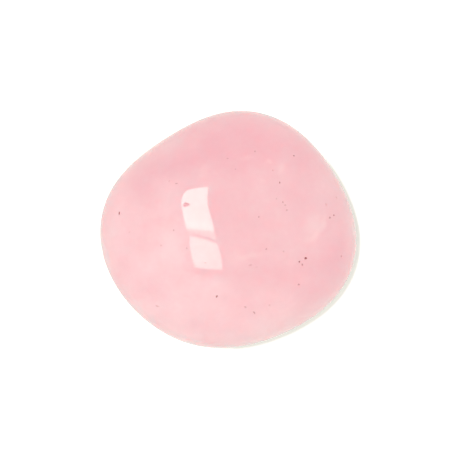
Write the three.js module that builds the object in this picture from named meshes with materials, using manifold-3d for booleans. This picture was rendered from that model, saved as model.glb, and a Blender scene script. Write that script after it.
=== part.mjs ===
// A rose quartz palm stone: one pebble, ground to a plump, rounded disc, tumbled and polished.
// Millimetres, +Z up. It stands on its small rest spot, and the origin is on the surface below
// the middle of its outline.

import * as THREE from "three";
import { mergeVertices } from "three/addons/utils/BufferGeometryUtils.js";
import Module from "manifold-3d";

// Driving dimensions
const MEAN_RADIUS = 25.8;
const HALF_HEIGHT = 13.8;
const CROWN_RISE = 0.9; // how much this raises the crown, and flattens the belly
const SHOULDER = 0.3; // 0 gives an elliptical section, and more gives a plumper one
const REST_CUT = 0.4; // what the flat rest spot takes off the belly

// The plan outline is a circle with an oval, a three-sided and a four-sided swelling on it. Each
// swelling has its height in millimetres, and toward is the bearing of one of its lobes in degrees.
const OUTLINE_LOBES = [
  { lobes: 2, height: 1.06, toward: 8.6 },
  { lobes: 3, height: 0.58, toward: 78.1 },
  { lobes: 4, height: 0.58, toward: 77.7 },
];

// The widest line round the stone isn't level: it tips to one side and sways twice on its way round.
const GIRDLE_WAVES = [
  { lobes: 1, height: 0.6, toward: 215 },
  { lobes: 2, height: 0.55, toward: 40 },
];

// Broad faces left from the first grinding and all but worn away by the tumbling. Each is a plane
// that the stone is pressed back from: bearing and rise say which way it looks, in degrees, and
// distance how far it is from the stone's middle. A greater softness rounds the face off more.
const GROUND_FACES = [
  { bearing: 124, rise: 38, distance: 22.1, softness: 2.2 },
  { bearing: 300, rise: 34, distance: 22.9, softness: 2.2 },
  { bearing: 24, rise: 46, distance: 21.7, softness: 2.2 },
  { bearing: 195, rise: -40, distance: 23.1, softness: 2.6 },
  { bearing: 70, rise: -36, distance: 23.8, softness: 2.6 },
];

const SURFACE_DETAIL = 20; // how often each edge of the starting icosahedron is split
const MERGE_WITHIN = 1e-4; // vertices this close together are one
const CUTTER_SIZE = 100; // a cube large enough to take in all that lies below the rest spot

const radians = THREE.MathUtils.degToRad;

// The height of a row of waves in a direction. Each fades towards the poles, so the top stays smooth.
function waveHeight(waves, direction) {
  const angle = Math.atan2(direction.y, direction.x);
  const flatness = Math.hypot(direction.x, direction.y);
  return waves.reduce(
    (sum, { lobes, height, toward }) =>
      sum + height * flatness ** lobes * Math.cos(lobes * (angle - radians(toward))),
    0,
  );
}

// How much further out than an ellipse the section runs between the crown and the girdle.
function plumpness(direction) {
  const across = direction.x ** 2 + direction.y ** 2;
  return (1 - 2 * SHOULDER * across * direction.z ** 2) ** -0.25;
}

// The rounded body before its faces are ground.
function bodyPoint(direction) {
  const radius = MEAN_RADIUS + waveHeight(OUTLINE_LOBES, direction);
  const reach = plumpness(direction);
  return new THREE.Vector3(
    radius * reach * direction.x,
    radius * reach * direction.y,
    HALF_HEIGHT * reach * direction.z +
      CROWN_RISE * direction.z ** 2 +
      waveHeight(GIRDLE_WAVES, direction),
  );
}

function faceNormal({ bearing, rise }) {
  const level = Math.cos(radians(rise));
  return new THREE.Vector3(
    level * Math.cos(radians(bearing)),
    level * Math.sin(radians(bearing)),
    Math.sin(radians(rise)),
  );
}

// Presses a point back from the plane of a ground face, less and less with its depth below the plane.
function grind(point, face) {
  const normal = faceNormal(face);
  const excess = point.dot(normal) - face.distance;
  const taken = (excess + Math.hypot(excess, face.softness)) / 2;
  return point.addScaledVector(normal, -taken);
}

function pebbleGeometry() {
  const geometry = new THREE.IcosahedronGeometry(1, SURFACE_DETAIL);
  geometry.deleteAttribute("normal");
  geometry.deleteAttribute("uv");
  const pebble = mergeVertices(geometry, MERGE_WITHIN);
  const positions = pebble.getAttribute("position");
  const direction = new THREE.Vector3();
  for (let i = 0; i < positions.count; i++) {
    direction.fromBufferAttribute(positions, i).normalize();
    const point = GROUND_FACES.reduce(grind, bodyPoint(direction));
    positions.setXYZ(i, point.x, point.y, point.z);
  }
  return pebble;
}

function toSolid(wasm, geometry) {
  const vertProperties = new Float32Array(geometry.getAttribute("position").array);
  const triVerts = new Uint32Array(geometry.index.array);
  return new wasm.Manifold(new wasm.Mesh({ numProp: 3, vertProperties, triVerts }));
}

function toGeometry(solid) {
  const { vertProperties, triVerts } = solid.getMesh();
  const geometry = new THREE.BufferGeometry();
  geometry.setAttribute("position", new THREE.BufferAttribute(vertProperties, 3));
  geometry.setIndex(new THREE.BufferAttribute(triVerts, 1));
  geometry.computeVertexNormals();
  return geometry;
}

// Cuts the belly flat and moves the stone so that it stands on that cut, centred on the origin.
function standOnRestSpot(wasm, pebble) {
  pebble.computeBoundingBox();
  const restHeight = pebble.boundingBox.min.z + REST_CUT;
  const cutter = new THREE.BoxGeometry(CUTTER_SIZE, CUTTER_SIZE, CUTTER_SIZE);
  cutter.deleteAttribute("normal");
  cutter.deleteAttribute("uv");
  cutter.translate(0, 0, restHeight - CUTTER_SIZE / 2);
  const below = toSolid(wasm, mergeVertices(cutter, MERGE_WITHIN));
  const geometry = toGeometry(toSolid(wasm, pebble).subtract(below));
  geometry.computeBoundingBox();
  const middle = geometry.boundingBox.getCenter(new THREE.Vector3());
  return geometry.translate(-middle.x, -middle.y, -restHeight);
}

const wasm = await Module();
wasm.setup();

const roseQuartz = new THREE.MeshStandardMaterial({
  color: "#f7bfc6",
  roughness: 0.06,
  metalness: 0,
});

const stone = new THREE.Mesh(standOnRestSpot(wasm, pebbleGeometry()), roseQuartz);
stone.name = "palm_stone";

const palmStone = new THREE.Group();
palmStone.name = "rose_quartz_palm_stone";
palmStone.add(stone);

export default palmStone;
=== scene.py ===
"""Dresses the rose quartz palm stone: its surface, its cloudy pink quartz and a plain white stage."""

import math

import bmesh
import bpy
import numpy as np
from bpy.props import FloatProperty, FloatVectorProperty, IntProperty, PointerProperty
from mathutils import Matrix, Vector, noise
from mathutils.bvhtree import BVHTree


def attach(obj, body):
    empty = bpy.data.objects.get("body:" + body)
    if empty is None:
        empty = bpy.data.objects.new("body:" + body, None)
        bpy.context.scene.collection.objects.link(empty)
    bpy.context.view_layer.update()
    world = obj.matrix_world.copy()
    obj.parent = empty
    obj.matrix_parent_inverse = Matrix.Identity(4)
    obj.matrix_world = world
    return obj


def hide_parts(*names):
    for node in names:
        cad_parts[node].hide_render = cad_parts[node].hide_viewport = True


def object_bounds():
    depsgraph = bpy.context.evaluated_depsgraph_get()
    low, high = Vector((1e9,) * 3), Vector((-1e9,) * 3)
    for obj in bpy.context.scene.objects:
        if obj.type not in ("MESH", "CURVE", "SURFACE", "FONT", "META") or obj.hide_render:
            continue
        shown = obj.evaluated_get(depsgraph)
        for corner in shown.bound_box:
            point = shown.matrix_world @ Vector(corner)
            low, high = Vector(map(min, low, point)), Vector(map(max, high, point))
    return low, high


bl_info = {
    "name": "Rose quartz palm stone",
    "version": (1, 0, 0),
    "blender": (4, 5, 0),
    "location": "View3D > Sidebar > Palm stone",
    "description": "Builds a tumbled and polished rose quartz palm stone and the stage it lies on",
    "category": "Add Mesh",
}

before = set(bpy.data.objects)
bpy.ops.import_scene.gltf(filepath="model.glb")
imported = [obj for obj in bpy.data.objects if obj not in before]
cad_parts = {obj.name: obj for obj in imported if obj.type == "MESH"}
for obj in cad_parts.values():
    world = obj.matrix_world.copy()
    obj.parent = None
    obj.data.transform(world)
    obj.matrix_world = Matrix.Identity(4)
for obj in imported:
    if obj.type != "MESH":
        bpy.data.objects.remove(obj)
CAD_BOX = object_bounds()
MM = 0.001

# The stone's body, as the solid has it. Each wave has its number of lobes, its height in
# millimetres and the bearing of one of its lobes in degrees.
OUTLINE_LOBES = ((2, 1.06, 8.6), (3, 0.58, 78.1), (4, 0.58, 77.7))
GIRDLE_WAVES = ((1, 0.6, 215), (2, 0.55, 40))

# Each ground face has its bearing and rise in degrees, and its distance and softness in millimetres.
GROUND_FACES = (
    (124, 38, 22.1, 2.2),
    (300, 34, 22.9, 2.2),
    (24, 46, 21.7, 2.2),
    (195, -40, 23.1, 2.6),
    (70, -36, 23.8, 2.6),
)

# Pits in the polish that the view from above shows. Each has its place in plan and its width in
# millimetres, how much longer than wide it is, the bearing of its length in degrees, and how dark
# its filling is, from 0 to 1. The widest one is clean: a nick that the window's reflection shows.
PITS_ON_TOP = {
    "dark cluster": (
        (15.7, -5.9, 0.46, 1.2, 20, 1.0),
        (14.4, -6.6, 0.34, 1.1, 60, 0.85),
        (15.0, -7.2, 0.35, 1.5, 110, 0.48),
        (14.3, -11.3, 0.38, 1.2, 0, 0.5),
    ),
    "left edge": ((-22.5, 3.3, 0.32, 2.3, 100, 1.0),),
    "near edge": (
        (-2.4, -13.6, 0.33, 1.6, 60, 0.9),
        (5.2, -17.0, 0.33, 2.4, 120, 0.48),
        (3.4, -15.8, 0.35, 1.6, 150, 0.34),
        (8.3, -15.5, 0.35, 1.2, 0, 0.24),
        (-14.6, -15.7, 0.33, 2.6, 0, 0.34),
    ),
    "far edge": (
        (13.4, 15.1, 0.32, 1.1, 0, 0.85),
        (5.4, 15.9, 0.33, 1.2, 30, 0.34),
        (9.0, 12.0, 0.30, 1.2, 90, 0.31),
        (-0.2, 14.4, 0.28, 1.5, 0, 0.31),
        (1.4, 12.2, 0.28, 1.0, 0, 0.31),
    ),
    "right of the middle": (
        (10.4, 9.5, 0.26, 1.7, 90, 0.85),
        (6.1, 2.5, 0.33, 1.1, 90, 0.37),
        (7.6, -4.0, 0.33, 1.1, 0, 0.41),
        (11.0, 5.5, 0.33, 1.2, 120, 0.41),
        (11.5, 4.9, 0.30, 1.2, 0, 0.34),
        (11.8, 3.9, 0.33, 1.5, 170, 0.27),
        (9.7, 6.2, 0.28, 1.2, 0, 0.27),
        (11.1, -4.5, 0.35, 1.2, 20, 0.24),
        (4.4, -7.2, 0.30, 2.4, 5, 0.2),
        (5.6, -7.7, 0.30, 1.6, 0, 0.12),
    ),
    "right edge": (
        (21.7, 2.9, 0.34, 1.0, 0, 0.9),
        (20.8, 2.4, 0.40, 1.3, 20, 0.55),
        (23.3, -5.6, 0.35, 1.3, 100, 0.41),
        (20.0, 5.1, 0.30, 2.2, 95, 0.31),
        (22.3, 6.6, 0.35, 1.6, 110, 0.24),
    ),
    "left of the middle": (
        (-8.5, -3.9, 0.33, 1.3, 90, 0.29),
        (-13.7, -3.3, 0.35, 1.1, 90, 0.27),
        (-11.1, -0.2, 0.32, 1.2, 80, 0.38),
        (-10.6, 9.3, 0.25, 2.4, 175, 0.44),
        (-12.1, 9.8, 0.25, 1.4, 10, 0.27),
        (-20.3, -0.6, 0.30, 1.2, 0, 0.17),
        (-8.6, 5.0, 0.80, 1.5, 15, 0),
        (-4.7, -6.8, 0.30, 1.2, 0, 0.2),
    ),
}

# Clouds of tone in the top of the stone. Most are the quartz's own zoning, and the ones marked below
# are partly painted light and shade. Each has its place in plan, its reach along and across its length
# in millimetres, the bearing of its length in degrees and its tone: above 0 it is paler than the stone
# round it, and below 0 deeper.
CLOUDS_AND_PAINTED_LIGHT_ON_TOP = {
    # These deep clouds along the far edge are partly deep zoning and partly painted shade, which
    # darkens the far side and its rim.
    "deep far edge": (-3.0, 24.0, 26.0, 9.0, 2, -0.50),
    "deep far edge, left": (-8.5, 21.5, 9.0, 4.5, 22, -0.34),
    "deep band, left": (-15.5, 12.3, 11.5, 5.6, 35, -0.35),
    "deep band, middle": (-3.0, 15.5, 14.0, 6.5, 12, -0.41),
    "deep band, right": (11.0, 17.0, 14.0, 8.0, -22, -0.42),
    "deep streak below the middle": (6.5, -8.6, 8.5, 2.6, 3, -0.20),
    # These two are partly deep zoning and partly painted shade on the right side.
    "deep patch, lower right": (20.5, -10.5, 8.5, 6.0, 55, -0.22),
    "deep patch, right": (21.6, -3.4, 7.0, 4.6, 78, -0.34),
    "deep patch beside the dark cluster": (17.3, -7.4, 5.0, 3.4, 10, -0.16),
    "pink patch, left": (-16.0, -4.0, 5.0, 5.0, 60, -0.26),
    "pink patch, left of the window": (-15.0, 0.8, 4.2, 3.4, 0, -0.17),
    # These pale clouds are partly pale zoning and partly painted light, which lightens the left and the
    # lower left.
    "pale left side": (-13.0, -5.0, 15.0, 12.0, 20, 0.33),
    "pale lower left": (-8.0, -15.0, 13.0, 7.5, 10, 0.40),
    "pale lower left edge": (-17.5, -15.0, 7.0, 5.0, -45, 0.42),
    "pale near edge, left": (-10.0, -21.0, 7.0, 4.0, -15, 0.22),
    "deep streak below the window": (-6.2, -8.8, 4.0, 1.4, -4, -0.18),
    "pale wisp, near": (-3.5, -11.7, 7.5, 3.2, -8, 0.30),
    # Partly pale zoning and partly painted light on the left.
    "pale patch beside the window": (-10.0, -7.0, 4.5, 4.0, 0, 0.18),
    "pale wisp, near right": (5.5, -13.5, 7.0, 2.6, 10, 0.18),
    "pale edge, upper right": (22.0, 10.5, 5.0, 3.5, -60, 0.22),
    # These two are partly pale zoning and partly painted light on the left side and its rim.
    "pale left edge": (-22.0, 3.0, 8.0, 6.0, 78, 0.28),
    "pale left of the middle": (-12.5, 4.0, 8.0, 5.0, 80, 0.14),
    "pale lower edge": (5.0, -19.0, 16.0, 7.0, 12, 0.24),
}

# Milky veils: healed cracks that show as soft pale wisps. Their rows are as for the clouds.
VEILS_ON_TOP = {
    "blob at the upper right": (10.8, 12.4, 2.2, 1.4, 80, 0.23),
    "far streak": (3.5, 14.4, 2.4, 0.9, 3, 0.15),
    "far streak, short": (8.1, 13.9, 1.3, 0.8, 0, 0.22),
    "patch below the blob": (6.6, 9.7, 1.4, 1.2, 0, 0.14),
    "broad patch, right": (17.5, 1.0, 4.4, 2.8, 55, 0.20),
    "arc, upper end": (19.4, 1.4, 2.2, 1.0, 75, 0.22),
    "arc, middle": (18.2, -0.7, 2.4, 1.1, 50, 0.21),
    "arc, lower end": (16.6, -2.1, 2.4, 1.1, 25, 0.16),
    "streak right of the middle": (4.6, -5.3, 4.0, 1.1, 8, 0.24),
    "broad patch below it": (1.2, -5.9, 4.8, 2.4, 5, 0.19),
    "patch beside the dark cluster": (12.7, -6.7, 1.8, 1.1, 0, 0.14),
    "patch above the window's reflection": (-5.0, 11.5, 2.8, 1.8, 80, 0.17),
}

# The window, as two panes and the sill between them. Each corner is its plan place in millimetres.
WINDOW_PANES = {
    "upper_pane": (
        (-470, 530), (-425, 560), (-320, 530), (-200, 495), (-165, 280), (-115, 175),
        (-70, 35), (-195, 65), (-330, 95), (-385, 220), (-440, 355), (-475, 465),
    ),
    "sill": (
        (-330, 95), (-195, 65), (-70, 30), (-50, -35), (-140, 0), (-220, 30), (-305, 55),
    ),
    "lower_pane": (
        (-285, 20), (-165, -15), (-45, -60), (-5, -165), (20, -310), (-160, -295), (-245, -280),
    ),
}

# A pit's rim is ragged by this share of its size. Each of its waves has the number of times that
# it goes round and how fast it turns from pit to pit.
RIM_WOBBLE = 0.22
RIM_WAVES = ((3, 1), (5, 2))

# Between these shares of the way from a pit's middle to its rim, its wall falls and its dull, dark
# surface fades in. A pit changes nothing further out than this many times its half length.
PIT_WALL = (1.1, 0.3)
PIT_STAIN = (1.15, 0.8)
PIT_REACH = 2.0

# How the scattered pits vary: in width round the mean, in length over width and in darkness.
PIT_WIDTH_SPREAD = (0.7, 1.6)
PIT_STRETCH_SPREAD = (1.0, 2.2)
PIT_DARKNESS_SPREAD = (0.2, 1.0)

# No scattered pit lies where the surface's normal rises more than this, because the pits that show
# from above have their own list, or lower than this, because the rest spot is bare.
SEEN_FROM_ABOVE = 0.15
REST_CLEARANCE = 0.5 * MM

# The mesh is split once within each of these distances from a pit. Faces thinner than the next
# value, as a share of the stone's radius, are taken out of it.
REFINE_REACHES = (0.75 * MM, 0.4 * MM, 0.18 * MM)
THINNEST_FACE = 1e-5

# The noises that the colour is made of: patch size in millimetres, detail and strength.
TONE_NOISES = ((17.0, 2, 0.9), (5.5, 3, 0.5), (1.3, 3, 0.25))
NOISE_ROUGHNESS = 0.55
NOISE_MIDDLE = 0.5

# The tone of plain rose quartz. The deepest pink is at 0 and the palest at 1.
MIDDLE_TONE = 0.5

# The middle and the reach, upward and in millimetres, of the clouds and veils in the top.
CLOUD_HEIGHT = (23.0, 24.0)
VEIL_HEIGHT = (24.0, 8.0)

# What makes the clouds and the veils ragged: a noise's patch size and its push, in millimetres.
CLOUD_WARP = (9.0, 7.0)
VEIL_WARP = (2.5, 1.6)
WARP_DETAIL = 2

# The healed cracks lower down. Their folds and the patches that they come in are noises, each with
# its size in millimetres and its detail. A crack shows where the folds stray less than this from
# their middle, and a patch fades in between these values of its noise. The cracks fade in between
# these heights in millimetres, and the last value is how milky they are.
CRACK_FOLDS = (16.0, 1.5)
CRACK_PATCHES = (9.0, 2)
CRACK_WIDTH = 0.016
CRACK_PATCH_FADE = (0.5, 0.66)
CRACK_FADE = (20.0, 13.0)
CRACK_MILK = 0.35

# Quartz has an index of refraction of 1.54, and a tumbler's last polish leaves it almost a mirror.
QUARTZ_IOR = 1.544
POLISH_ROUGHNESS = 0.03
PIT_ROUGHNESS = 0.5

# How deep light goes before it comes back out, and how that differs for red, green and blue.
GLOW_DEPTH = 16 * MM
GLOW_TINT = (1.0, 0.28, 0.26)

# The whites of the floor, of the daylight, and of the room's far side and its bright one.
CARD_WHITE = "#F4FAF4"
CARD_ROUGHNESS = 0.9
DAYLIGHT = "#FFFBEB"
FAR_WHITE = "#FDFDFF"
BRIGHT_WHITE = "#FFFFFA"

# The floor lies a hair below the rest spot, so that the two faces don't flicker.
FLOOR_HEIGHT = -0.02 * MM
FLOOR_POINTS = 120

# The floor is whitened, but in the stone's shadow only by a small share, its lift. The shadow is
# even up to its edge and fades out at its end. Both follow the stone's outline, nudged away from
# the window, at a distance past it that has two values: on the window's side, where the stone hides
# the shadow, and towards the other side, where the shadow shows. It comes into view between these
# cosines of the angle to its middle, which lies towards this bearing in degrees.
SHADOW_NUDGE = (0.98 * MM, -0.50 * MM, 0)
SHADOW_TOWARD = -27.0
SHADOW_TURN = (0.0, 0.5)
SHADOW_EDGE = (-6 * MM, 0.66 * MM)
SHADOW_END = (0.3 * MM, 1.07 * MM)
SHADOW_LIFT = 0.12

# The way to the brightest part of the room, up and to the near right.
BRIGHT_SIDE = (0.69, -0.58, 0.43)

# The camera looks straight down, a little beside the stone's middle. It sees 10 metres far.
CAMERA_AIM = (0.29 * MM, -0.14 * MM)
GIRDLE_HEIGHT = 12.6 * MM
CAMERA_CLIP = 10.0


def linear(hex_colour):
    """The linear red, green, blue and alpha of an sRGB hex colour."""
    channels = [int(hex_colour[i : i + 2], 16) / 255 for i in (1, 3, 5)]
    return [c / 12.92 if c <= 0.04045 else ((c + 0.055) / 1.055) ** 2.4 for c in channels] + [1.0]


def length(name, description, millimetres):
    """A length property with its default in millimetres."""
    return FloatProperty(name=name, description=description, default=millimetres * MM,
                         subtype="DISTANCE", unit="LENGTH", precision=5)


def colour(name, description, hex_colour):
    """A colour property with its default as an sRGB hex colour."""
    return FloatVectorProperty(name=name, description=description, default=linear(hex_colour),
                               size=4, min=0, max=1, subtype="COLOR")


class StoneShape(bpy.types.PropertyGroup):
    """Colours in the quartz, which the clouds of tone also use for painted light and shade."""

    mean_radius: length("Mean radius", "Radius of the outline without its lobes", 25.8)
    half_height: length("Half height", "From the girdle to the crown, before the rise", 13.8)
    crown_rise: length("Crown rise", "How much this raises the crown and flattens the belly", 0.9)
    shoulder: FloatProperty(name="Shoulder", description="Plumpness of the section", default=0.3,
                            min=0, max=0.9)
    rest_cut: length("Rest cut", "What the flat rest spot takes off the belly", 0.4)
    rest_edge: length("Rest edge", "How softly the rest spot's edge is worn", 0.08)
    ripple_height: length("Ripple height", "Height of the slow waves left by the polishing", 0.012)
    ripple_length: length("Ripple length", "Length of those waves", 7.0)


class StoneSurface(bpy.types.PropertyGroup):
    """Pits in the polish, and the mesh that carries them."""

    mesh_level: IntProperty(name="Mesh level", description="Subdivisions of the icosphere",
                            default=7, min=3, max=7)
    pit_count: IntProperty(name="Other pits", description="Pits on the sides and the belly",
                           default=70, min=0, max=100)
    pit_width: length("Pit width", "Mean width of those pits", 0.27)
    pit_depth: FloatProperty(name="Pit depth", description="Depth of a pit over its width",
                             default=0.35, min=0, max=1)
    seed: IntProperty(name="Seed", description="Seed of the scattered pits", default=5)


class StoneColours(bpy.types.PropertyGroup):
    """Colours in the quartz."""

    deep: colour("Deep pink", "Where the quartz is deepest in colour", "#E8B7C2")
    middle: colour("Middle pink", "Most of the stone", "#EBC4CC")
    pale: colour("Pale pink", "Where the quartz is cloudy and pale", "#F2D2D8")
    veil: colour("Veil", "Milky healed cracks", "#F6E2E1")
    filling: colour("Pit filling", "Dark grime in the pits", "#A05459")


class StageSettings(bpy.types.PropertyGroup):
    """Floor, lights and camera."""

    floor_width: length("Floor width", "Width of the white floor", 3000)
    room_light: FloatProperty(name="Room light", description="Light from the room's bright side",
                              default=0.955, min=0)
    room_shade: FloatProperty(name="Room shade", description="Light from the room's far side",
                              default=0.725, min=0)
    upper_pane: FloatProperty(name="Upper pane", description="Light of the window's upper pane",
                              default=7.2, min=0)
    lower_pane: FloatProperty(name="Lower pane", description="Light of the window's lower pane",
                              default=5.45, min=0)
    sill: FloatProperty(name="Sill", description="Light of the window's sill", default=3.3, min=0)
    window_height: length("Window height", "Height of the panes above the floor", 1013)
    whitening: FloatProperty(name="Whitening", description="What is added to the floor's white",
                             default=0.35, min=0)
    lens: FloatProperty(name="Lens", description="Focal length in millimetres", default=120, min=20)
    camera_distance: length("Camera distance", "From the camera to the girdle", 323.4)


def wave_height(waves, direction):
    """Height of a row of waves in each direction. Each fades towards the poles."""
    angle = np.arctan2(direction[:, 1], direction[:, 0])
    flatness = np.hypot(direction[:, 0], direction[:, 1])
    return sum(height * MM * flatness**lobes * np.cos(lobes * (angle - math.radians(toward)))
               for lobes, height, toward in waves)


def body_points(direction, shape):
    """Points of the rounded body, before its faces are ground."""
    across = direction[:, 0] ** 2 + direction[:, 1] ** 2
    upward = direction[:, 2]
    reach = (1 - 2 * shape.shoulder * across * upward**2) ** -0.25
    radius = (shape.mean_radius + wave_height(OUTLINE_LOBES, direction)) * reach
    height = (shape.half_height * reach * upward + shape.crown_rise * upward**2
              + wave_height(GIRDLE_WAVES, direction))
    return np.column_stack((radius * direction[:, 0], radius * direction[:, 1], height))


def grind(points, face):
    """Presses points back from the plane of a ground face, less and less with their depth below it."""
    bearing, rise, distance, softness = face
    bearing, rise = math.radians(bearing), math.radians(rise)
    level = math.cos(rise)
    normal = np.array((level * math.cos(bearing), level * math.sin(bearing), math.sin(rise)))
    excess = points @ normal - distance * MM
    taken = (excess + np.hypot(excess, softness * MM)) / 2
    return points - np.outer(taken, normal)


def free_points(direction, shape):
    """Points of the ground body, before it is stood on its rest spot."""
    points = body_points(direction, shape)
    for face in GROUND_FACES:
        points = grind(points, face)
    return points


def standing(direction, shape):
    """The scale and shift that stand the body on its cut and fit it to the solid's box."""
    points = free_points(direction, shape)
    low, high = points.min(0), points.max(0)
    low[2] += shape.rest_cut
    box_low, box_high = (np.array(corner) for corner in CAD_BOX)
    scale = (box_high - box_low) / (high - low)
    return scale, box_low - low * scale


def stone_points(direction, shape, stand):
    """Points of the polished stone, without its pits, where it stands."""
    scale, shift = stand
    points = free_points(direction, shape) * scale + shift

    # The slow waves only take away, so that the stone stays within the solid's box.
    wave = np.array([noise.noise(Vector(point / shape.ripple_length)) for point in points])
    points -= direction * (shape.ripple_height * (1 + wave) / 2)[:, None]

    # What would lie below the floor is pressed up to it, which makes the rest spot.
    height = points[:, 2]
    points[:, 2] = (height + np.hypot(height, shape.rest_edge)) / 2
    return points


def smooth_step(value, start, end):
    """0 at start, 1 at end and smooth in between."""
    share = np.clip((value - start) / (end - start), 0, 1)
    return share * share * (3 - 2 * share)


class Pit:
    """One pit: where it is, how it lies and how dark its filling is."""

    def __init__(self, place, normal, width, stretch, bearing, darkness):
        self.place = np.array(place)
        self.normal = np.array(normal)
        bearing = math.radians(bearing)
        along = Vector((math.cos(bearing), math.sin(bearing), 0))
        along = (along - normal * along.dot(normal)).normalized()
        self.along = np.array(along)
        self.across = np.array(normal.cross(along))
        self.half_width = width / 2
        self.half_length = width * stretch / 2
        self.darkness = darkness

    def local(self, points):
        """How far out each point lies, where 1 is the pit's ragged rim."""
        offset = points - self.place
        along = offset @ self.along / self.half_length
        across = offset @ self.across / self.half_width
        angle = np.arctan2(across, along)
        turn = self.place[0] / MM + self.place[1] / MM
        waves = sum(np.sin(times * angle + speed * turn) for times, speed in RIM_WAVES)
        return np.hypot(along, across) / (1 + RIM_WOBBLE * waves / len(RIM_WAVES))


def pits_on_top(tree):
    """The pits that the view from above shows, set on the surface below their places in plan."""
    above = CAD_BOX[1].z * 2
    for group in PITS_ON_TOP.values():
        for x, y, width, stretch, bearing, darkness in group:
            place, normal, _, _ = tree.ray_cast(Vector((x * MM, y * MM, above)), Vector((0, 0, -1)))
            if place is None:
                raise RuntimeError(f"the pit at {x}, {y} mm is beyond the stone's edge")
            yield Pit(place, normal, width * MM, stretch, bearing, darkness)


def pits_elsewhere(tree, surface):
    """Scattered pits on the sides and the belly."""
    chance = np.random.default_rng(surface.seed)
    centre = (CAD_BOX[0] + CAD_BOX[1]) / 2
    made = 0
    while made < surface.pit_count:
        direction = Vector(chance.normal(size=3)).normalized()
        width = surface.pit_width * chance.uniform(*PIT_WIDTH_SPREAD)
        stretch = chance.uniform(*PIT_STRETCH_SPREAD)
        bearing = chance.uniform(0, 360)
        darkness = chance.uniform(*PIT_DARKNESS_SPREAD)
        place, normal, _, _ = tree.ray_cast(centre, direction)
        if normal.z > SEEN_FROM_ABOVE or place.z < REST_CLEARANCE:
            continue
        made += 1
        yield Pit(place, normal, width, stretch, bearing, darkness)


def split_into_triangles(sphere):
    """Splits each face that has more than three corners."""
    bmesh.ops.triangulate(sphere, faces=[face for face in sphere.faces if len(face.verts) > 3])


def refine_round_pits(sphere, pits, to_stone):
    """Splits the mesh finer and finer towards each pit."""
    for reach in REFINE_REACHES:
        middles = np.array([face.calc_center_median() for face in sphere.faces])
        middles /= np.linalg.norm(middles, axis=1)[:, None]
        places = to_stone(middles)
        near = np.zeros(len(places), bool)
        for pit in pits:
            near |= np.linalg.norm(places - pit.place, axis=1) < reach + pit.half_length
        sphere.faces.ensure_lookup_table()
        sphere.edges.index_update()
        chosen = {edge.index for i in np.flatnonzero(near) for edge in sphere.faces[i].edges}
        sphere.edges.ensure_lookup_table()
        edges = [sphere.edges[i] for i in sorted(chosen)]
        bmesh.ops.subdivide_edges(sphere, edges=edges, cuts=1, use_grid_fill=True)
        split_into_triangles(sphere)
        for vertex in sphere.verts:
            vertex.co.normalize()
    bmesh.ops.dissolve_degenerate(sphere, edges=sphere.edges, dist=THINNEST_FACE)
    split_into_triangles(sphere)


def carve(points, pits, depth):
    """Sinks the pits into the points and returns how dark and how unpolished each point is."""
    filling = np.zeros(len(points))
    dull = np.zeros(len(points))
    for pit in pits:
        distance = np.linalg.norm(points - pit.place, axis=1)
        near = np.flatnonzero(distance < PIT_REACH * pit.half_length)
        out = pit.local(points[near])
        sunk = smooth_step(out, *PIT_WALL) * depth * 2 * pit.half_width
        points[near] -= np.outer(sunk, pit.normal)
        inside = smooth_step(out, *PIT_STAIN)
        dull[near] = np.maximum(dull[near], inside)
        filling[near] = np.maximum(filling[near], inside * pit.darkness)
    return filling, dull


def make_stone(shape, surface):
    """The stone's mesh, with the layers that its material reads."""
    sphere = bmesh.new()
    bmesh.ops.create_icosphere(sphere, subdivisions=surface.mesh_level, radius=1)
    directions = np.array([vertex.co for vertex in sphere.verts])
    directions /= np.linalg.norm(directions, axis=1)[:, None]
    stand = standing(directions, shape)

    def to_stone(some):
        return stone_points(some, shape, stand)

    faces = [[vertex.index for vertex in face.verts] for face in sphere.faces]
    tree = BVHTree.FromPolygons([Vector(point) for point in to_stone(directions)], faces)
    pits = [*pits_on_top(tree), *pits_elsewhere(tree, surface)]
    refine_round_pits(sphere, pits, to_stone)
    mesh = bpy.data.meshes.new("rose_quartz_stone")
    sphere.to_mesh(mesh)
    sphere.free()
    directions = np.zeros(len(mesh.vertices) * 3)
    mesh.vertices.foreach_get("co", directions)
    points = to_stone(directions.reshape(-1, 3))
    filling, dull = carve(points, pits, surface.pit_depth)
    mesh.vertices.foreach_set("co", points.ravel())
    for name, values in (("pit_filling", filling), ("pit_dull", dull)):
        mesh.attributes.new(name, "FLOAT", "POINT").data.foreach_set("value", values)
    mesh.polygons.foreach_set("use_smooth", [True] * len(mesh.polygons))
    mesh.update()
    return mesh


def add_node(tree, kind, inputs=(), **settings):
    """Adds a node with its settings. inputs gives sockets their values, or the outputs they link to."""
    made = tree.nodes.new(kind)
    for name, value in settings.items():
        setattr(made, name, value)
    for socket, value in dict(inputs).items():
        if isinstance(value, bpy.types.NodeSocket):
            tree.links.new(value, made.inputs[socket])
        else:
            made.inputs[socket].default_value = value
    return made


def add_mottling(tree, place, noises, total):
    """Adds each noise to the total, swinging as far below as above it."""
    for millimetres, detail, strength in noises:
        patches = add_node(tree, "ShaderNodeTexNoise", {
            "Vector": place,
            "Scale": 1 / millimetres,
            "Detail": detail,
            "Roughness": NOISE_ROUGHNESS,
        })
        swing = add_node(tree, "ShaderNodeMapRange", {
            "Value": patches.outputs["Fac"],
            "To Min": -strength / 2,
            "To Max": strength / 2,
        })
        total = add_node(tree, "ShaderNodeMath", {
            0: total,
            1: swing.outputs[0],
        }, operation="ADD").outputs[0]
    return total


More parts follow.
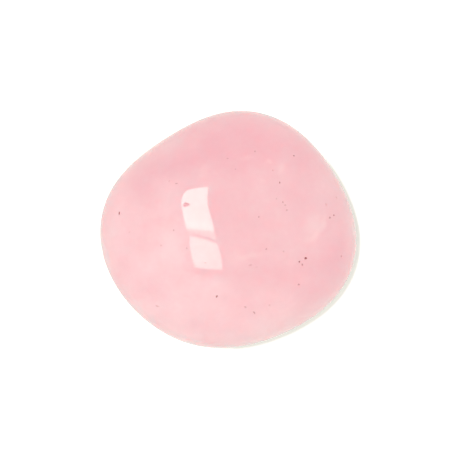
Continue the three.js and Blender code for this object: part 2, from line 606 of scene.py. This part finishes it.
def warped(tree, place, warp):
    """The place pushed about by slow noise, so that round clouds turn ragged."""
    millimetres, push = warp
    drift = add_node(tree, "ShaderNodeTexNoise", {
        "Vector": place,
        "Scale": 1 / millimetres,
        "Detail": WARP_DETAIL,
    })
    moved = add_node(tree, "ShaderNodeVectorMath", {
        0: drift.outputs["Color"],
        1: (push, push, push),
        2: place,
    }, operation="MULTIPLY_ADD")
    centred = add_node(tree, "ShaderNodeVectorMath", {
        0: moved.outputs[0],
        1: (push / 2, push / 2, push / 2),
    }, operation="SUBTRACT")
    return centred.outputs[0]


def add_clouds(tree, place, clouds, height, total):
    """Adds each cloud's tone to the total. height is the middle and the reach of them all, upward."""
    for x, y, along, across, bearing, tone in clouds.values():
        local = add_node(tree, "ShaderNodeMapping", {
            "Vector": place,
            "Location": (x, y, height[0]),
            "Rotation": (0, 0, math.radians(bearing)),
            "Scale": (along, across, height[1]),
        }, vector_type="TEXTURE")
        out = add_node(tree, "ShaderNodeVectorMath", {0: local.outputs[0]}, operation="LENGTH")
        cloud = add_node(tree, "ShaderNodeMapRange", {
            "Value": out.outputs["Value"],
            "From Min": 1.0,
            "From Max": 0.0,
            "To Max": tone,
        }, interpolation_type="SMOOTHSTEP")
        total = add_node(tree, "ShaderNodeMath", {
            0: total,
            1: cloud.outputs[0],
        }, operation="ADD").outputs[0]
    return total


def healed_cracks(tree, place):
    """How milky the healed cracks make each place on the sides and the belly."""
    folds, patches = (add_node(tree, "ShaderNodeTexNoise", {
        "Vector": place,
        "Scale": 1 / millimetres,
        "Detail": detail,
    }).outputs["Fac"] for millimetres, detail in (CRACK_FOLDS, CRACK_PATCHES))
    stray = add_node(tree, "ShaderNodeMath", {0: folds, 1: NOISE_MIDDLE}, operation="SUBTRACT")
    across = add_node(tree, "ShaderNodeMath", {0: stray.outputs[0]}, operation="ABSOLUTE")
    height = add_node(tree, "ShaderNodeSeparateXYZ", {0: place}).outputs["Z"]
    total = CRACK_MILK
    for value, start, end in (
        (across.outputs[0], CRACK_WIDTH, 0.0),
        (patches, *CRACK_PATCH_FADE),
        (height, *CRACK_FADE),
    ):
        share = add_node(tree, "ShaderNodeMapRange", {
            "Value": value,
            "From Min": start,
            "From Max": end,
        }, interpolation_type="SMOOTHSTEP")
        total = add_node(tree, "ShaderNodeMath", {
            0: total,
            1: share.outputs[0],
        }, operation="MULTIPLY").outputs[0]
    return total


def tumbled_rose_quartz(colours):
    """Tumbled and polished rose quartz: a cloudy pink glow under a clear gloss, with dark pits."""
    material = bpy.data.materials.new("tumbled_polished_rose_quartz")
    material.use_nodes = True
    tree = material.node_tree
    shader = tree.nodes["Principled BSDF"]
    metres = add_node(tree, "ShaderNodeTexCoord").outputs["Object"]
    place = add_node(tree, "ShaderNodeVectorMath", {
        0: metres,
        "Scale": 1 / MM,
    }, operation="SCALE").outputs[0]

    # The colour zones: slow and fine mottling through the whole stone, and the clouds in its top, some
    # of which are partly painted light and shade: paler on the left, deeper at the far edge and on the
    # right.
    tone = add_mottling(tree, place, TONE_NOISES, MIDDLE_TONE)
    tone = add_clouds(tree, warped(tree, place, CLOUD_WARP), CLOUDS_AND_PAINTED_LIGHT_ON_TOP, CLOUD_HEIGHT, tone)
    ramp = add_node(tree, "ShaderNodeValToRGB", {"Fac": tone})
    ramp.color_ramp.elements[0].color = colours.deep
    ramp.color_ramp.elements[1].color = colours.pale
    ramp.color_ramp.elements.new(MIDDLE_TONE).color = colours.middle

    # The veils and healed cracks, which hold the light. Then the grime that fills the pits.
    veil = add_clouds(tree, warped(tree, place, VEIL_WARP), VEILS_ON_TOP, VEIL_HEIGHT, 0.0)
    cracks = healed_cracks(tree, place)
    filling = add_node(tree, "ShaderNodeAttribute", attribute_name="pit_filling").outputs["Fac"]
    pink = ramp.outputs["Color"]
    for share, over in ((veil, colours.veil), (cracks, colours.veil), (filling, colours.filling)):
        pink = add_node(tree, "ShaderNodeMix", {
            "Factor": share,
            "A": pink,
            "B": over,
        }, data_type="RGBA").outputs["Result"]
    tree.links.new(pink, shader.inputs["Base Color"])

    # The polish is a near mirror, and the pits are dull.
    dull = add_node(tree, "ShaderNodeAttribute", attribute_name="pit_dull").outputs["Fac"]
    roughness = add_node(tree, "ShaderNodeMapRange", {
        "Value": dull,
        "To Min": POLISH_ROUGHNESS,
        "To Max": PIT_ROUGHNESS,
    })
    tree.links.new(roughness.outputs[0], shader.inputs["Roughness"])
    shader.inputs["IOR"].default_value = QUARTZ_IOR
    shader.inputs["Subsurface Weight"].default_value = 1.0
    shader.inputs["Subsurface Radius"].default_value = GLOW_TINT
    shader.inputs["Subsurface Scale"].default_value = GLOW_DEPTH
    return material


def white_card(whitening):
    """Matt white card: an even white without gloss, whitened to the camera as a product picture is."""
    material = bpy.data.materials.new("matt_white_card")
    material.use_nodes = True
    tree = material.node_tree
    shader = tree.nodes["Principled BSDF"]
    shader.inputs["Base Color"].default_value = linear(CARD_WHITE)
    shader.inputs["Roughness"].default_value = CARD_ROUGHNESS
    shader.inputs["Emission Color"].default_value = (1, 1, 1, 1)
    whitened = add_node(tree, "ShaderNodeAttribute", attribute_name="whitened").outputs["Fac"]
    to_camera = add_node(tree, "ShaderNodeLightPath").outputs["Is Camera Ray"]
    share = add_node(tree, "ShaderNodeMath", {0: whitened, 1: to_camera}, operation="MULTIPLY")
    added = add_node(tree, "ShaderNodeMath", {
        0: share.outputs[0],
        1: whitening,
    }, operation="MULTIPLY")
    tree.links.new(added.outputs[0], shader.inputs["Emission Strength"])
    return material


def make_floor(shape, stage):
    """The floor as rings round the stone, with a layer that says where it is whitened."""
    angle = np.linspace(0, 2 * math.pi, FLOOR_POINTS, endpoint=False)
    outward = np.column_stack((np.cos(angle), np.sin(angle), np.zeros(FLOOR_POINTS)))
    outline = free_points(outward, shape)
    outline -= (outline.min(0) + outline.max(0)) / 2
    outline[:, 2] = FLOOR_HEIGHT
    shown = smooth_step(np.cos(angle - math.radians(SHADOW_TOWARD)), *SHADOW_TURN)
    edge, end = (hidden + (past - hidden) * shown for hidden, past in (SHADOW_EDGE, SHADOW_END))
    nudged = outline + SHADOW_NUDGE
    floor_edge = outward * stage.floor_width / 2 + (0, 0, FLOOR_HEIGHT)
    rings = (nudged + outward * edge[:, None], nudged + outward * end[:, None], floor_edge)
    faces = [range(FLOOR_POINTS)]
    for start in range(0, FLOOR_POINTS * (len(rings) - 1), FLOOR_POINTS):
        for here in range(FLOOR_POINTS):
            after = (here + 1) % FLOOR_POINTS
            ahead = start + FLOOR_POINTS
            faces.append((start + here, ahead + here, ahead + after, start + after))
    mesh = bpy.data.meshes.new("white_floor")
    mesh.from_pydata(np.concatenate(rings), [], faces)

    # The face in the middle and the first ring round it are in the shadow.
    whitened = np.repeat((SHADOW_LIFT, 1.0, 1.0), FLOOR_POINTS)
    mesh.attributes.new("whitened", "FLOAT", "POINT").data.foreach_set("value", whitened)
    mesh.materials.append(white_card(stage.whitening))
    return mesh


def window_light(strength):
    """Daylight through a window pane: an even, slightly warm white."""
    material = bpy.data.materials.new("window_daylight")
    material.use_nodes = True
    tree = material.node_tree
    tree.nodes.remove(tree.nodes["Principled BSDF"])
    light = add_node(tree, "ShaderNodeEmission", {"Color": linear(DAYLIGHT), "Strength": strength})
    tree.links.new(light.outputs[0], tree.nodes["Material Output"].inputs["Surface"])
    return material


def white_room(light, shade):
    """A white room: bright and a little warm on one side, and dimmer and cooler towards the other."""
    world = bpy.data.worlds.new("white_room")
    world.use_nodes = True
    tree = world.node_tree
    outward = add_node(tree, "ShaderNodeTexCoord").outputs["Generated"]
    facing = add_node(tree, "ShaderNodeVectorMath", {
        0: outward,
        1: BRIGHT_SIDE,
    }, operation="DOT_PRODUCT").outputs["Value"]
    share = add_node(tree, "ShaderNodeMapRange", {"Value": facing, "From Min": -1.0}).outputs[0]
    strength = add_node(tree, "ShaderNodeMapRange", {
        "Value": share,
        "To Min": shade,
        "To Max": light,
    })
    white = add_node(tree, "ShaderNodeMix", {
        "Factor": share,
        "A": linear(FAR_WHITE),
        "B": linear(BRIGHT_WHITE),
    }, data_type="RGBA")
    tree.links.new(strength.outputs[0], tree.nodes["Background"].inputs["Strength"])
    tree.links.new(white.outputs["Result"], tree.nodes["Background"].inputs["Color"])
    return world


def add_object(name, data):
    """A new object in the scene."""
    made = bpy.data.objects.new(name, data)
    bpy.context.scene.collection.objects.link(made)
    return made


class PALMSTONE_OT_stone(bpy.types.Operator):
    """Make the polished stone in place of its plain solid"""

    bl_idname = "palmstone.stone"
    bl_label = "Make the stone"

    def execute(self, context):
        scene = context.scene
        mesh = make_stone(scene.stone_shape, scene.stone_surface)
        mesh.materials.append(tumbled_rose_quartz(scene.stone_colours))
        stone = add_object("polished_stone", mesh)
        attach(stone, "root")
        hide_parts("palm_stone")
        return {"FINISHED"}


class PALMSTONE_OT_stage(bpy.types.Operator):
    """Make the white floor, the window, the light from all round and the camera"""

    bl_idname = "palmstone.stage"
    bl_label = "Make the stage"

    def execute(self, context):
        scene = context.scene
        stage = scene.stage_settings
        add_object("white_floor", make_floor(scene.stone_shape, stage))
        for name, places in WINDOW_PANES.items():
            corners = [(x * MM, y * MM, stage.window_height) for x, y in places]
            pane = bpy.data.meshes.new(name)
            pane.from_pydata(corners, [], [range(len(corners))])
            pane.materials.append(window_light(getattr(stage, name)))
            window = add_object(name, pane)
            window.visible_camera = False
        scene.world = white_room(stage.room_light, stage.room_shade)
        lens = bpy.data.cameras.new("overhead_camera")
        lens.lens = stage.lens
        lens.clip_end = CAMERA_CLIP
        camera = add_object("overhead_camera", lens)
        camera.location = (CAMERA_AIM[0], CAMERA_AIM[1], GIRDLE_HEIGHT + stage.camera_distance)
        scene.camera = camera
        scene.view_settings.view_transform = "Standard"
        return {"FINISHED"}


class PALMSTONE_PT_panel(bpy.types.Panel):
    """Sizes, colours and lights of the palm stone"""

    bl_idname = "PALMSTONE_PT_panel"
    bl_label = "Palm stone"
    bl_space_type = "VIEW_3D"
    bl_region_type = "UI"
    bl_category = "Palm stone"

    def draw(self, context):
        for name, group in GROUPS.items():
            box = self.layout.box()
            for setting in group.__annotations__:
                box.prop(getattr(context.scene, name), setting)
        self.layout.operator(PALMSTONE_OT_stone.bl_idname)
        self.layout.operator(PALMSTONE_OT_stage.bl_idname)


GROUPS = {
    "stone_shape": StoneShape,
    "stone_surface": StoneSurface,
    "stone_colours": StoneColours,
    "stage_settings": StageSettings,
}
CLASSES = (*GROUPS.values(), PALMSTONE_OT_stone, PALMSTONE_OT_stage, PALMSTONE_PT_panel)


def register():
    for member in CLASSES:
        bpy.utils.register_class(member)
    for name, group in GROUPS.items():
        setattr(bpy.types.Scene, name, PointerProperty(type=group))


def unregister():
    for name in GROUPS:
        delattr(bpy.types.Scene, name)
    for member in reversed(CLASSES):
        bpy.utils.unregister_class(member)


def main():
    register()
    bpy.ops.palmstone.stone()
    bpy.ops.palmstone.stage()


if __name__ == "__main__":
    main()
